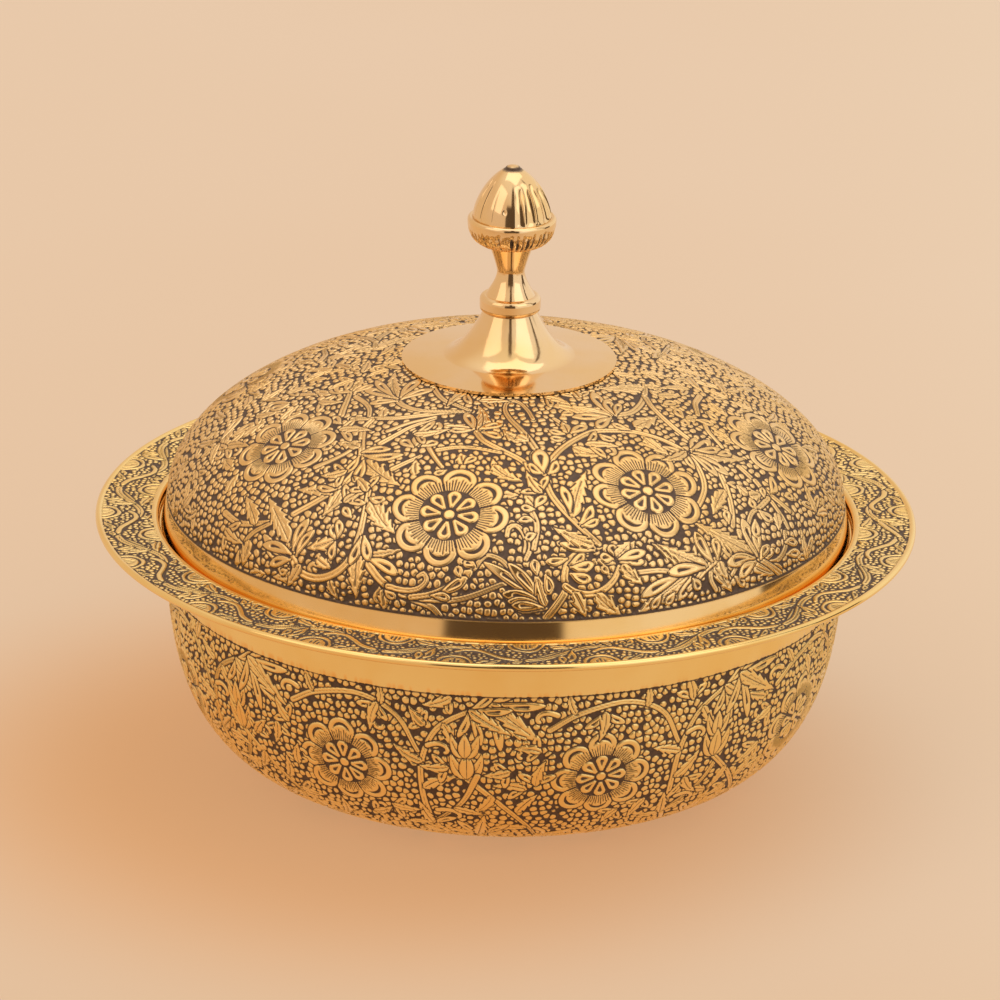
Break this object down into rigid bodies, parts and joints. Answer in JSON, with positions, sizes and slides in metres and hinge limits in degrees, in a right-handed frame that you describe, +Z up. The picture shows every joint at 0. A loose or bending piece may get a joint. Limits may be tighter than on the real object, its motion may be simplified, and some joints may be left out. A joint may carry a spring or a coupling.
{
  "type": "candy dish",
  "caption": "Round covered candy dish: spun bowl with a wide flat rim and a stepped well, a domed lift-off lid, and an acorn knob on a waisted stem over a bell and disc.",
  "frame": {"origin": "on the table, under the centre of the bowl's base", "axes": "+Z up along the dish's axis, -Y towards the picture's camera, +X to its right"},
  "size_m": [0.2, 0.2, 0.1512],
  "materials": {
    "chased_brass": "satin brass, chased with flowers and vines on a pearled ground, with dark brown patina in the hollows",
    "polished_brass": "polished, slightly worn turned and cast brass",
    "steel": "plain zinc-plated fasteners"
  },
  "bodies": {
    "dish": {"bowl": "chased_brass"},
    "cover": {"lid": "chased_brass", "finial_foot": "polished_brass", "finial_collar": "polished_brass", "finial_neck": "polished_brass", "acorn": "polished_brass", "finial_stud": "steel", "lid_washer": "steel", "lid_nut": "steel"}
  },
  "joints": [
    {"name": "lid_lift", "type": "slide", "parent": "dish", "child": "cover", "axis": [0, 0, 1], "range_m": [0, 0.12]}
  ]
}
